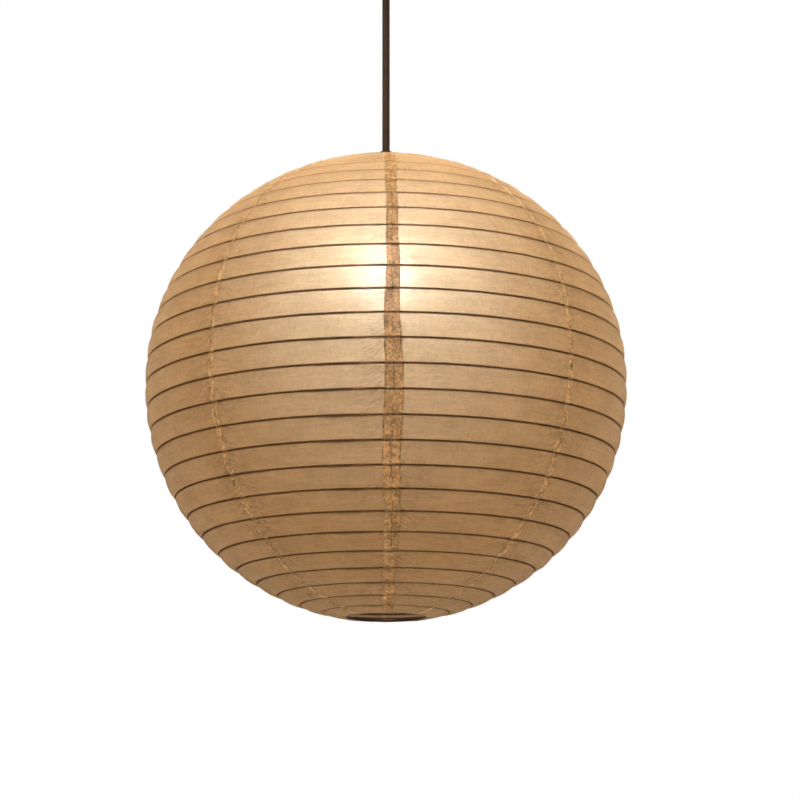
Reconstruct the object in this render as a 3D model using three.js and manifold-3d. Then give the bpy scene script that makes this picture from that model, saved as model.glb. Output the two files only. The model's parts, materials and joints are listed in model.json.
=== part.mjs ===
// Round paper lantern shade on a corded pendant, hung from a ceiling canopy.
// Millimetres, +Z up, origin on the ceiling face above the lantern, front of the lantern towards -Y.
// The shade is eight paper gores over separate wire hoops, held open by a sprung wire expander.
import * as THREE from 'three';
import { mergeVertices } from 'three/addons/utils/BufferGeometryUtils.js';
import Module from 'manifold-3d';

const wasm = await Module();
wasm.setup();

// ---- driving dimensions ----
const GAP = 0.3;                 // clearance between pieces that touch
const shadeRadius = 203.2;       // half of 16 inches
const topPole = 0.962;           // height of the upper half, as a share of the radius
const bottomPole = 0.989;        // height of the lower half, as a share of the radius
const fullness = 2.02;           // exponent of the profile: 2 is an ellipse, more is squarer
const topRingRadius = 34.7;
const bottomRingRadius = 33.3;
const goreCount = 8;
const columnsPerGore = 3;
const ribCount = 27;
const paper = 0.5;               // thickness of the paper shell in this model
const ribWire = 0.8;             // radius of a hoop's wire
const ringWire = 1.0;            // radius of the end rings' wire
const frameWire = 1.2;           // radius of the expander's frame wire
const legWire = 1.0;             // radius of the expander's leg wire
const legRadius = 30.3;          // distance of a leg from the axis, just inside the bottom ring
const cordRadius = 3.25;
const cordBore = cordRadius + 0.35;
const canopyRadius = 50;
const canopyDepth = 28;
const canopyWall = 1.2;
const screwOffset = 34;          // canopy screws, each side of the middle
const shadeTop = -199;           // height of the paper's top edge
const segments = goreCount * columnsPerGore;
const smallSides = 16;           // sides of the small turned pieces

// ---- profile of the shade: rows at equal steps of paper from the top ring to the bottom ring ----
function profilePoint(turn) {
  const height = Math.cos(turn);
  const pole = height > 0 ? topPole : bottomPole;
  const r = shadeRadius * Math.sin(turn) ** (2 / fullness);
  const z = shadeRadius * pole * Math.sign(height) * Math.abs(height) ** (2 / fullness);
  return new THREE.Vector2(r, z);
}

function turnAtRadius(radius) {
  return Math.asin((radius / shadeRadius) ** (fullness / 2));
}

function profileRows() {
  const steps = 4000;
  const start = turnAtRadius(topRingRadius);
  const end = Math.PI - turnAtRadius(bottomRingRadius);
  const fine = Array.from({ length: steps + 1 }, (_, i) => profilePoint(start + (end - start) * i / steps));
  const along = [0];
  for (let i = 1; i <= steps; i++) along.push(along[i - 1] + fine[i].distanceTo(fine[i - 1]));
  const rows = [];
  for (let row = 0, i = 0; row <= ribCount + 1; row++) {
    const wanted = along[steps] * row / (ribCount + 1);
    while (i < steps && along[i] < wanted) i++;
    rows.push(fine[i].clone());
  }
  const drop = shadeTop - rows[0].y;
  for (const point of rows) point.y += drop;
  return rows;
}

// Points a distance inside the paper's outer surface, square to it.
function inside(rows, depth) {
  return rows.map((point, i) => {
    const before = rows[Math.max(i - 1, 0)];
    const after = rows[Math.min(i + 1, rows.length - 1)];
    const way = after.clone().sub(before).normalize();
    return new THREE.Vector2(point.x + way.y * depth, point.y - way.x * depth);
  });
}

const outerRows = profileRows();
const innerRows = inside(outerRows, paper);
const ribRows = inside(outerRows, paper + GAP + ribWire);
const ringRows = inside(outerRows, paper + GAP + ringWire);
const topRing = ringRows[0];
const bottomRing = ringRows[ribCount + 1];

// ---- materials ----
function material(color, roughness, metalness) {
  return new THREE.MeshStandardMaterial({ color, roughness, metalness });
}
const paperMaterial = material(0xcfae7c, 0.9, 0);
const wireMaterial = material(0x6b5138, 0.5, 0.6);
const zincMaterial = material(0xb4b2ac, 0.35, 1);
const brassMaterial = material(0xc8a458, 0.3, 1);
const blackMaterial = material(0x1d1b1a, 0.5, 0);
const cordMaterial = material(0x40332b, 0.6, 0);
const canopyMaterial = material(0x2b2625, 0.45, 0.2);
const glassMaterial = material(0xf4efe2, 0.35, 0);
const capMaterial = material(0xbcbcb8, 0.3, 1);
const ceramicMaterial = material(0xe8e2d6, 0.4, 0);

// ---- geometry helpers ----
function solid(geometry) {
  geometry.deleteAttribute('normal');
  geometry.deleteAttribute('uv');
  return mergeVertices(geometry, 1e-4);
}

function toManifold(geometry) {
  const merged = solid(geometry.clone());
  return new wasm.Manifold(new wasm.Mesh({
    numProp: 3,
    vertProperties: Float32Array.from(merged.attributes.position.array),
    triVerts: Uint32Array.from(merged.index.array),
  }));
}

function fromManifold(shape) {
  const mesh = shape.getMesh();
  const geometry = new THREE.BufferGeometry();
  geometry.setAttribute('position', new THREE.BufferAttribute(Float32Array.from(mesh.vertProperties), 3));
  geometry.setIndex(new THREE.BufferAttribute(Uint32Array.from(mesh.triVerts), 1));
  return geometry;
}

function cut(base, ...tools) {
  return fromManifold(tools.reduce((shape, tool) => shape.subtract(toManifold(tool)), toManifold(base)));
}

function join(...pieces) {
  return fromManifold(pieces.map(toManifold).reduce((shape, piece) => shape.add(piece)));
}

// A turned piece about the vertical axis, from [radius, height] pairs. A profile that stays off
// the axis is closed on itself.
function turned(profile, sides = smallSides) {
  const points = profile.map(([r, z]) => new THREE.Vector2(r, z));
  if (points[0].x > 0) points.push(points[0].clone());
  const geometry = new THREE.LatheGeometry(points, sides);
  geometry.rotateX(Math.PI / 2);
  const shape = toManifold(geometry);
  if (shape.volume() > 0) return fromManifold(shape);
  const flipped = solid(geometry);
  const index = flipped.index.array;
  for (let i = 0; i < index.length; i += 3) [index[i], index[i + 1]] = [index[i + 1], index[i]];
  return flipped;
}

function hoop(radius, z, wire, sides) {
  return new THREE.TorusGeometry(radius, wire, sides, segments).translate(0, 0, z);
}

// A round wire along a curve, with closed ends.
function wireAlong(curve, radius, sides, steps) {
  const section = new THREE.Shape();
  for (let i = 0; i < sides; i++) {
    const angle = 2 * Math.PI * i / sides;
    const x = radius * Math.cos(angle);
    const y = radius * Math.sin(angle);
    if (i === 0) section.moveTo(x, y);
    else section.lineTo(x, y);
  }
  return new THREE.ExtrudeGeometry(section, { steps, bevelEnabled: false, extrudePath: curve });
}

function upright(radius, low, high, sides = smallSides) {
  return new THREE.CylinderGeometry(radius, radius, high - low, sides)
    .rotateX(Math.PI / 2)
    .translate(0, 0, (low + high) / 2);
}

function point(x, y, z) {
  return new THREE.Vector3(x, y, z);
}

const lantern = new THREE.Group();

function add(name, geometry, look) {
  const mesh = new THREE.Mesh(solid(geometry), look);
  mesh.name = name;
  lantern.add(mesh);
  return mesh;
}

function twoDigits(number) {
  return String(number).padStart(2, '0');
}

// ---- shade ----
// One gore: a closed sheet between two seams, with a row of points at each hoop.
function goreGeometry(index) {
  const first = -Math.PI / 2 + 2 * Math.PI * index / goreCount;
  const sector = 2 * Math.PI / goreCount;
  const positions = [];
  for (const rows of [outerRows, innerRows]) {
    for (const row of rows) {
      const clear = GAP / 2 / row.x;
      for (let column = 0; column <= columnsPerGore; column++) {
        const share = column / columnsPerGore;
        const edge = column === 0 ? clear : column === columnsPerGore ? -clear : 0;
        const angle = first + sector * share + edge;
        positions.push(row.x * Math.cos(angle), row.x * Math.sin(angle), row.y);
      }
    }
  }
  const across = columnsPerGore + 1;
  const sheet = outerRows.length * across;
  const faces = [];
  const quad = (a, b, c, d) => faces.push(a, b, c, a, c, d);
  const at = (side, row, column) => side * sheet + row * across + column;
  for (let row = 0; row < outerRows.length - 1; row++) {
    for (let column = 0; column < columnsPerGore; column++) {
      quad(at(0, row, column), at(0, row + 1, column), at(0, row + 1, column + 1), at(0, row, column + 1));
      quad(at(1, row, column), at(1, row, column + 1), at(1, row + 1, column + 1), at(1, row + 1, column));
    }
    quad(at(0, row, 0), at(1, row, 0), at(1, row + 1, 0), at(0, row + 1, 0));
    const last = columnsPerGore;
    quad(at(0, row, last), at(0, row + 1, last), at(1, row + 1, last), at(1, row, last));
  }
  const bottom = outerRows.length - 1;
  for (let column = 0; column < columnsPerGore; column++) {
    quad(at(0, 0, column), at(0, 0, column + 1), at(1, 0, column + 1), at(1, 0, column));
    quad(at(0, bottom, column), at(1, bottom, column), at(1, bottom, column + 1), at(0, bottom, column + 1));
  }
  const geometry = new THREE.BufferGeometry();
  geometry.setAttribute('position', new THREE.Float32BufferAttribute(positions, 3));
  geometry.setIndex(faces);
  return geometry;
}

for (let index = 0; index < goreCount; index++) {
  add(`paper_gore_${index + 1}`, goreGeometry(index), paperMaterial);
}
for (let rib = 1; rib <= ribCount; rib++) {
  add(`rib_hoop_${twoDigits(rib)}`, hoop(ribRows[rib].x, ribRows[rib].y, ribWire, 3), wireMaterial);
}
add('top_ring', hoop(topRing.x, topRing.y, ringWire, 6), wireMaterial);
add('bottom_ring', hoop(bottomRing.x, bottomRing.y, ringWire, 6), wireMaterial);

// ---- expander: a welded frame clamped on the lampholder, and two legs hinged on its pins ----
const clampHeight = shadeTop - 19.5;
const clampRadius = 19.2;
const bridgeHeight = topRing.y - ringWire - GAP - frameWire;
const bridgeHalfWidth = 6;
const bridgeEnd = topRing.x + 0.6;
const pinX = 29.5;
const pinHeight = shadeTop - 11;

function bridgeGeometry(side) {
  const inner = Math.sqrt(clampRadius ** 2 - bridgeHalfWidth ** 2);
  const half = bridgeHalfWidth;
  const corner = 2;
  const route = [
    point(inner, half, clampHeight), point(23.5, half, clampHeight + 0.8), point(pinX, half, pinHeight),
    point(32, half, bridgeHeight - 1), point(bridgeEnd - corner, half, bridgeHeight),
    point(bridgeEnd, half - corner, bridgeHeight), point(bridgeEnd, corner - half, bridgeHeight),
    point(bridgeEnd - corner, -half, bridgeHeight), point(32, -half, bridgeHeight - 1),
    point(pinX, -half, pinHeight), point(23.5, -half, clampHeight + 0.8), point(inner, -half, clampHeight),
  ];
  for (const stop of route) stop.x *= side;
  const curve = new THREE.CatmullRomCurve3(route, false, 'centripetal');
  return wireAlong(curve, frameWire, 5, 22);
}

function pinGeometry(side) {
  return new THREE.CylinderGeometry(frameWire, frameWire, 2 * bridgeHalfWidth, 8)
    .translate(side * pinX, 0, pinHeight);
}

add('expander_frame', join(
  hoop(clampRadius, clampHeight, frameWire, 6),
  bridgeGeometry(1), pinGeometry(1), bridgeGeometry(-1), pinGeometry(-1),
), zincMaterial);

const eyeRadius = frameWire + 0.4 + legWire;
const footHeight = bottomRing.y + ringWire + GAP + legWire;
const footEnd = bottomRing.x + 0.6;

function legGeometry(side) {
  const bend = 3;
  const route = [
    point(pinX, 0, pinHeight - eyeRadius), point(pinX + 0.4, 0, pinHeight - 14),
    point(legRadius, 0, pinHeight - 32), point(legRadius, 0, pinHeight - 80),
    point(legRadius, 0, (pinHeight + footHeight) / 2), point(legRadius, 0, footHeight + 30),
    point(legRadius, 0, footHeight + bend), point(legRadius + 1.2, 0, footHeight + 0.8),
    point(footEnd, 0, footHeight),
  ];
  for (const stop of route) stop.x *= side;
  const curve = new THREE.CatmullRomCurve3(route, false, 'centripetal');
  const eye = new THREE.TorusGeometry(eyeRadius, legWire, 5, 12)
    .rotateX(Math.PI / 2)
    .translate(side * pinX, 0, pinHeight);
  return join(wireAlong(curve, legWire, 5, 18), eye);
}

add('expander_leg_right', legGeometry(1), zincMaterial);
add('expander_leg_left', legGeometry(-1), zincMaterial);

// ---- lampholder, heights from the paper's top edge ----
function belowTop(profile) {
  return profile.map(([r, z]) => [r, z + shadeTop]);
}

add('cord_bushing', turned(belowTop([
  [cordBore, -10], [5.8, -10], [5.8, 5], [8, 5], [8, 10.8], [6.4, 12], [4.6, 13.2], [cordBore, 13.2],
])), blackMaterial);
add('lampholder_cap', turned(belowTop([
  [6.1, 4.7], [11, 4.7], [17, 1.5], [20.3, -4], [21, -14.5], [18.8, -14.5], [18.3, -4.6],
  [15.6, 0], [10.6, 2.6], [6.1, 2.6],
])), blackMaterial);
add('lampholder_body', turned(belowTop([
  [4, -14.8], [21, -14.8], [21, -18], [17.5, -18], [17.5, -58], [14.5, -58], [14.5, -23.5], [4, -23.5],
])), blackMaterial);
add('socket_insulator', turned(belowTop([
  [2.5, -23.8], [14.1, -23.8], [14.1, -29.5], [2.5, -29.5],
])), ceramicMaterial);
add('socket_contact', turned(belowTop([
  [0, -29.8], [6.5, -29.8], [6.5, -30.6], [4, -31.2], [3.2, -33.7], [0, -33.7],
]), 12), brassMaterial);
add('socket_shell', turned(belowTop([
  [12.6, -34.6], [13.9, -34.6], [13.9, -57], [13.4, -57], [13.4, -35.2], [12.6, -35.2],
])), brassMaterial);
add('shade_ring', turned(belowTop([
  [18.2, -21], [24, -21], [24.6, -22.5], [24.6, -29], [23.6, -30.5], [18.2, -30.5],
])), blackMaterial);

// ---- bulb ----
add('bulb_tip', turned(belowTop([
  [0, -34], [3.6, -34.2], [4.8, -35.2], [9.6, -38.4], [9.6, -39], [0, -39],
]), 16), brassMaterial);
add('bulb_base', turned(belowTop([
  [9.9, -38], [11.4, -38.2], [13, -41], [13, -60], [12, -60], [12, -41.6], [9.9, -39.6],
])), capMaterial);
add('bulb_stem', turned(belowTop([
  [0, -50], [10.8, -50], [9, -60], [5, -66], [3.4, -82], [2.6, -92], [0, -93],
]), 12), glassMaterial);

function bulbGlobe() {
  const middle = -98;
  const radius = 25;
  const wall = 1;
  const neck = 12.2;
  const neckTop = -60.3;
  const arcSteps = 7;
  const outline = (size, neckRadius) => {
    const arc = [];
    const last = Math.acos(-0.78);
    for (let i = 0; i <= arcSteps; i++) {
      const angle = last * (1 - i / arcSteps);
      arc.push([size * Math.sin(angle), middle - size * Math.cos(angle)]);
    }
    return [[neckRadius, neckTop], [neckRadius + 0.3, neckTop - 8], ...arc];
  };
  const outer = outline(radius, neck + wall);
  const inner = outline(radius - wall, neck);
  return [...outer, ...inner.reverse()];
}
add('bulb_globe', turned(belowTop(bulbGlobe())), glassMaterial);

// ---- cord ----
const gripBottom = -38;
const cordTop = gripBottom - 1.2;
const cordBottom = shadeTop - 8;
const cordRun = new THREE.LineCurve3(point(0, 0, cordBottom), point(0, 0, cordTop));
add('cord', wireAlong(cordRun, cordRadius, 10, 10), cordMaterial);

// ---- ceiling fitting ----
function slotTool(x) {
  const half = 4;
  return join(
    upright(2.6, -5, 5, 12).translate(x - half, 0, 0),
    upright(2.6, -5, 5, 12).translate(x + half, 0, 0),
    new THREE.BoxGeometry(2 * half, 5.2, 10).translate(x, 0, 0),
  );
}

const crossbarThickness = 2;
add('ceiling_crossbar', cut(
  new THREE.BoxGeometry(88, 18, crossbarThickness).translate(0, 0, -crossbarThickness / 2),
  upright(2.4, -5, 5).translate(screwOffset, 0, 0),
  upright(2.4, -5, 5).translate(-screwOffset, 0, 0),
  slotTool(18), slotTool(-18),
), zincMaterial);

const canopyFloor = -canopyDepth;
add('canopy_cup', cut(
  turned([
    [5.5, canopyFloor], [44, canopyFloor], [48.4, canopyFloor + 2.2], [canopyRadius, canopyFloor + 7],
    [canopyRadius, -GAP], [canopyRadius - canopyWall, -GAP], [canopyRadius - canopyWall, canopyFloor + 7.2],
    [47.4, canopyFloor + 3.2], [43.7, canopyFloor + canopyWall], [5.5, canopyFloor + canopyWall],
  ], segments),
  upright(2.4, canopyFloor - 2, canopyFloor + 4).translate(screwOffset, 0, 0),
  upright(2.4, canopyFloor - 2, canopyFloor + 4).translate(-screwOffset, 0, 0),
), canopyMaterial);

function screwGeometry(x) {
  const headTop = canopyFloor - GAP;
  const body = turned([
    [0, headTop - 2.4], [2.4, headTop - 2.2], [3.8, headTop - 1], [3.8, headTop], [2, headTop],
    [2, -0.8], [0, -0.8],
  ], 14);
  const slot = new THREE.BoxGeometry(0.9, 9, 2).translate(0, 0, headTop - 2.4);
  return cut(body, slot).translate(x, 0, 0);
}
add('canopy_screw_right', screwGeometry(screwOffset), zincMaterial);
add('canopy_screw_left', screwGeometry(-screwOffset), zincMaterial);

const gripFlange = canopyFloor - GAP;
add('cord_grip', turned([
  [cordBore, gripBottom], [4.9, gripBottom], [8, gripBottom + 4.5], [8, gripFlange], [5.2, gripFlange],
  [5.2, -18], [cordBore, -18],
]), blackMaterial);
const nutBottom = canopyFloor + canopyWall + GAP;
add('grip_nut', cut(
  upright(9, nutBottom, nutBottom + 4.5, 6),
  upright(5.7, nutBottom - 1, nutBottom + 6),
), zincMaterial);
add('cord_tail', wireAlong(
  new THREE.LineCurve3(point(0, 0, gripBottom + 0.1), point(0, 0, -12)), cordRadius, 10, 2,
), cordMaterial);

function terminalBlock() {
  const base = new THREE.BoxGeometry(20, 16, 5).translate(17, 0, -9.5);
  const posts = [-4, 4].map((y) => new THREE.BoxGeometry(16, 5.5, 4).translate(17, y, -13.5));
  return join(base, ...posts);
}
add('terminal_block', terminalBlock(), ceramicMaterial);

export default lantern;
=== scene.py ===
"""Round paper lantern pendant: paper gores, wire hoops, expander, lampholder, bulb, cord and canopy."""

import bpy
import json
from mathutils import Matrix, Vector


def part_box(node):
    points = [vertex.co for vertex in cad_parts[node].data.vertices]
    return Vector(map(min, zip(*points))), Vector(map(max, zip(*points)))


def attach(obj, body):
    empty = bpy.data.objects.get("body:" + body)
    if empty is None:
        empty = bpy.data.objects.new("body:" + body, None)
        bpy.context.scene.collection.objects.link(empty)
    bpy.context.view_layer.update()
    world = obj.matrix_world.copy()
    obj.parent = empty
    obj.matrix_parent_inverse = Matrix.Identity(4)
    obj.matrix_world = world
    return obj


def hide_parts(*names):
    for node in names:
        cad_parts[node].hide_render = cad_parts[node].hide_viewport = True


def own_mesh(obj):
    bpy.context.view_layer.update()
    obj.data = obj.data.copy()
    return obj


bl_info = {
    "name": "Paper Lantern Pendant",
    "version": (1, 0, 0),
    "blender": (4, 5, 0),
    "location": "View3D > Sidebar > Paper Lantern",
    "description": "Models a lit paper lantern shade on its corded pendant",
    "category": "Add Mesh",
}

import json
import math

import bpy
from bpy.props import FloatProperty, FloatVectorProperty, IntProperty, PointerProperty
from mathutils import Vector, noise

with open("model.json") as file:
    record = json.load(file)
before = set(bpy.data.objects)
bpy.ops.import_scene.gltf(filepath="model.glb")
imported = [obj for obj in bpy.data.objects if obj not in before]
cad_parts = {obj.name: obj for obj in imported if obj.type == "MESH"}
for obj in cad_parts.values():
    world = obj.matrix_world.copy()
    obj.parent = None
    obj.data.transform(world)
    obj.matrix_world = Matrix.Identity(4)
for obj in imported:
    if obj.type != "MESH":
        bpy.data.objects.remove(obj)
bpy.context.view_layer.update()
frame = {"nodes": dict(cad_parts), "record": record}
MM = 0.001
TAU = 2 * math.pi
GORES = sorted(name for name in frame["nodes"] if name.startswith("paper_gore_"))
HOOPS = sorted(name for name in frame["nodes"] if name.startswith("rib_hoop_"))


# ---- settings ----
class PaperSettings(bpy.types.PropertyGroup):
    """Paper shade"""
    tone: FloatVectorProperty(
        name="Paper tone", description="Colour of the paper itself", subtype="COLOR", size=3,
        default=(0.63, 0.41, 0.212), min=0, max=1)
    lap_tone: FloatVectorProperty(
        name="Lap tone", description="Colour of the paste-soaked laps", subtype="COLOR", size=3,
        default=(0.98, 0.73, 0.44), min=0, max=1)
    see_through: FloatProperty(
        name="See-through", description="Share of the light that passes nearly straight on",
        default=0.012, min=0, max=1)
    haze: FloatProperty(
        name="Haze", description="Share of the light that the paper scatters widely forward",
        default=0.21, min=0, max=1)
    bulge: FloatProperty(
        name="Bulge", description="How far the paper swells between two hoops", unit="LENGTH",
        default=1.25 * MM)
    wrinkle: FloatProperty(
        name="Wrinkle", description="Height of the creases beside the seams", unit="LENGTH",
        default=0.45 * MM)
    rows_per_band: IntProperty(
        name="Rows per band", description="Mesh rows between two hoops", default=9, min=3)
    columns: IntProperty(
        name="Columns", description="Mesh columns across one gore", default=72, min=12)


class WireSettings(bpy.types.PropertyGroup):
    """Hoops, rings and expander"""
    hoop_wire: FloatProperty(
        name="Hoop wire", description="Radius of a hoop's wire", unit="LENGTH", default=0.8 * MM)
    ring_wire: FloatProperty(
        name="Ring wire", description="Radius of an end ring's wire", unit="LENGTH", default=1.0 * MM)
    frame_wire: FloatProperty(
        name="Frame wire", description="Radius of the expander frame's wire", unit="LENGTH",
        default=1.2 * MM)
    leg_wire: FloatProperty(
        name="Leg wire", description="Radius of an expander leg's wire", unit="LENGTH",
        default=1.0 * MM)
    lap_angle: FloatProperty(
        name="Lap angle", description="Arc over which a hoop's two ends lie side by side",
        subtype="ANGLE", default=math.radians(10))
    hoop_tone: FloatVectorProperty(
        name="Hoop tone", description="Colour of the hoops' lacquer", subtype="COLOR", size=3,
        default=(0.075, 0.030, 0.012), min=0, max=1)
    steel_tone: FloatVectorProperty(
        name="Steel tone", description="Colour of the zinc-plated wire", subtype="COLOR", size=3,
        default=(0.60, 0.59, 0.56), min=0, max=1)


class FittingSettings(bpy.types.PropertyGroup):
    """Cord, lampholder and canopy"""
    cord_diameter: FloatProperty(
        name="Cord diameter", description="Diameter of the round cord", unit="LENGTH",
        default=6.5 * MM)
    cord_tone: FloatVectorProperty(
        name="Cord tone", description="Colour of the cord's sheath", subtype="COLOR", size=3,
        default=(0.14, 0.082, 0.046), min=0, max=1)
    plastic_tone: FloatVectorProperty(
        name="Plastic tone", description="Colour of the moulded fittings", subtype="COLOR", size=3,
        default=(0.050, 0.039, 0.032), min=0, max=1)
    canopy_tone: FloatVectorProperty(
        name="Canopy tone", description="Colour of the canopy's enamel", subtype="COLOR", size=3,
        default=(0.085, 0.062, 0.047), min=0, max=1)


class LightSettings(bpy.types.PropertyGroup):
    """Bulb and studio"""
    bulb_tone: FloatVectorProperty(
        name="Bulb tone", description="Colour of the lit globe", subtype="COLOR", size=3,
        default=(1.0, 0.90, 0.74), min=0, max=1)
    bulb_strength: FloatProperty(
        name="Bulb strength", description="Brightness of the lit globe", default=76.0, min=0)
    cord_lamp: FloatProperty(
        name="Cord lamp", description="Power of the lamp on the cord, in watts", default=20.0, min=0)
    studio_strength: FloatProperty(
        name="Studio strength", description="Brightness of the soft room light", default=0.30, min=0)
    lens: FloatProperty(name="Lens", description="Focal length in millimetres", default=118.0)


# ---- frame helpers ----
def settings(group):
    return getattr(bpy.context.scene, group)


def ring_line(node, wire):
    """Radius and height of a round wire's centre line."""
    low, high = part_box(node)
    return Vector((high[0] - wire, (low[2] + high[2]) / 2))


def body_holding(node):
    for body, nodes in frame["record"]["behaviour"]["bodies"].items():
        if node in nodes:
            return body
    raise RuntimeError(f"no body holds {node}")


def slot_of(node):
    for part in frame["record"]["subparts"]:
        if part["node"] == node:
            return part["material_slot"]
    raise RuntimeError(f"{node} has no slot")


def shade_top():
    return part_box(GORES[0])[1].z


def paper_stations(inset=0.0):
    """(radius, height) of the paper at each hoop, from the top ring to the bottom ring."""
    wires = settings("lantern_wires")
    lines = [ring_line("top_ring", wires.ring_wire)]
    lines += [ring_line(name, wires.hoop_wire) for name in HOOPS]
    lines += [ring_line("bottom_ring", wires.ring_wire)]
    stations = []
    for i, here in enumerate(lines):
        before, after = lines[max(i - 1, 0)], lines[min(i + 1, len(lines) - 1)]
        way = (after - before).normalized()
        wire = wires.ring_wire if i in (0, len(lines) - 1) else wires.hoop_wire
        stations.append(here + Vector((-way.y, way.x)) * (wire + 0.12 * MM - inset))
    return stations


# ---- node groups ----
def new_group(name, inputs, outputs):
    group = bpy.data.node_groups.new(name, "ShaderNodeTree")
    for label, kind, value in inputs:
        made = group.interface.new_socket(label, in_out="INPUT", socket_type=kind)
        if value is not None:
            made.default_value = value
    for label, kind in outputs:
        group.interface.new_socket(label, in_out="OUTPUT", socket_type=kind)
    return group


class Board:
    """Places and links nodes in one tree."""

    def __init__(self, tree):
        self.tree = tree

    def node(self, kind, values=None, **facts):
        made = self.tree.nodes.new(kind)
        for key, value in facts.items():
            setattr(made, key, value)
        for key, value in (values or {}).items():
            if isinstance(value, bpy.types.NodeSocket):
                self.tree.links.new(value, made.inputs[key])
            else:
                made.inputs[key].default_value = value
        return made

    def math(self, operation, a, b=0.0):
        return self.node("ShaderNodeMath", {0: a, 1: b}, operation=operation).outputs[0]

    def product(self, *factors):
        result = factors[0]
        for factor in factors[1:]:
            result = self.math("MULTIPLY", result, factor)
        return result

    def off(self, value, middle):
        return self.math("ABSOLUTE", self.math("SUBTRACT", value, middle))

    def span(self, value, low, high, to_low=0.0, to_high=1.0):
        values = {"Value": value, "From Min": low, "From Max": high, "To Min": to_low, "To Max": to_high}
        return self.node("ShaderNodeMapRange", values).outputs["Result"]

    def noise(self, where, scale, detail=3.0, rough=0.55, distortion=0.0):
        values = {"Vector": where, "Scale": scale, "Detail": detail, "Roughness": rough,
                  "Distortion": distortion}
        return self.node("ShaderNodeTexNoise", values).outputs["Fac"]

    def mapped(self, where, scale):
        return self.node("ShaderNodeMapping", {"Vector": where, "Scale": scale}).outputs["Vector"]

    def mix(self, factor, a, b, blend="MIX"):
        values = {0: factor, 6: a, 7: b}
        return self.node("ShaderNodeMix", values, data_type="RGBA", blend_type=blend).outputs[2]

    def grey(self, shade):
        return self.node("ShaderNodeCombineColor", {0: shade, 1: shade, 2: shade}).outputs[0]

    def shaded(self, tone, shade):
        return self.mix(1.0, rgba(tone), self.grey(shade), "MULTIPLY")

    def bump(self, height, strength, distance):
        values = {"Strength": strength, "Distance": distance, "Height": height}
        return self.node("ShaderNodeBump", values).outputs["Normal"]

    def blend(self, share, first, second):
        return self.node("ShaderNodeMixShader", {0: share, 1: first, 2: second}).outputs[0]

    def finish(self, surface):
        self.node("ShaderNodeOutputMaterial", {"Surface": surface})


def rgba(tone):
    return (*tone, 1.0)


def paper_fibre_group():
    """Cloudy thickness, short fibres and fine crinkle of mulberry paper."""
    group = new_group(
        "paper_fibre",
        [("Vector", "NodeSocketVector", None), ("Sheet", "NodeSocketVector", None)],
        [("Cloud", "NodeSocketFloat"), ("Fibre", "NodeSocketFloat"), ("Crinkle", "NodeSocketFloat")])
    board = Board(group)
    source = board.node("NodeGroupInput")
    where, sheet = source.outputs["Vector"], source.outputs["Sheet"]
    cloud = board.noise(where, 38.0, 5.0, 0.62)
    strands = [
        board.noise(board.mapped(sheet, stretch), 1.0, 2.0, 0.5, 0.6)
        for stretch in ((110.0, 900.0, 1.0), (800.0, 130.0, 1.0))]
    fibre = board.math("MAXIMUM", strands[0], strands[1])
    ripple = board.noise(board.mapped(sheet, (38.0, 420.0, 1.0)), 1.0, 3.0, 0.6, 0.4)
    crinkle = board.math(
        "ADD", board.product(board.noise(where, 300.0, 5.0, 0.65), 0.5), board.product(ripple, 0.5))
    board.node("NodeGroupOutput", {"Cloud": cloud, "Fibre": fibre, "Crinkle": crinkle})
    return group


def surface_wear_group():
    """Smudges, fine scratches and dust that break up a plain surface."""
    group = new_group(
        "surface_wear",
        [("Vector", "NodeSocketVector", None), ("Scale", "NodeSocketFloat", 1.0)],
        [("Smudge", "NodeSocketFloat"), ("Scratch", "NodeSocketFloat"), ("Grain", "NodeSocketFloat")])
    board = Board(group)
    source = board.node("NodeGroupInput")
    where = board.node(
        "ShaderNodeVectorMath", {0: source.outputs["Vector"], "Scale": source.outputs["Scale"]},
        operation="SCALE").outputs["Vector"]
    smudge = board.noise(where, 90.0, 4.0, 0.6, 0.6)
    scratch = board.noise(board.mapped(where, (1.0, 1.0, 9.0)), 700.0, 2.0, 0.7)
    grain = board.noise(where, 2600.0, 2.0, 0.5)
    board.node("NodeGroupOutput", {"Smudge": smudge, "Scratch": scratch, "Grain": grain})
    return group


GROUPS = {}


def shared(name):
    makers = {"paper_fibre": paper_fibre_group, "surface_wear": surface_wear_group}
    if name not in GROUPS:
        GROUPS[name] = makers[name]()
    return GROUPS[name]


# ---- materials ----
def new_material(name):
    material = bpy.data.materials.new(name)
    material.use_nodes = True
    material.node_tree.nodes.clear()
    return material, Board(material.node_tree)


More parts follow.
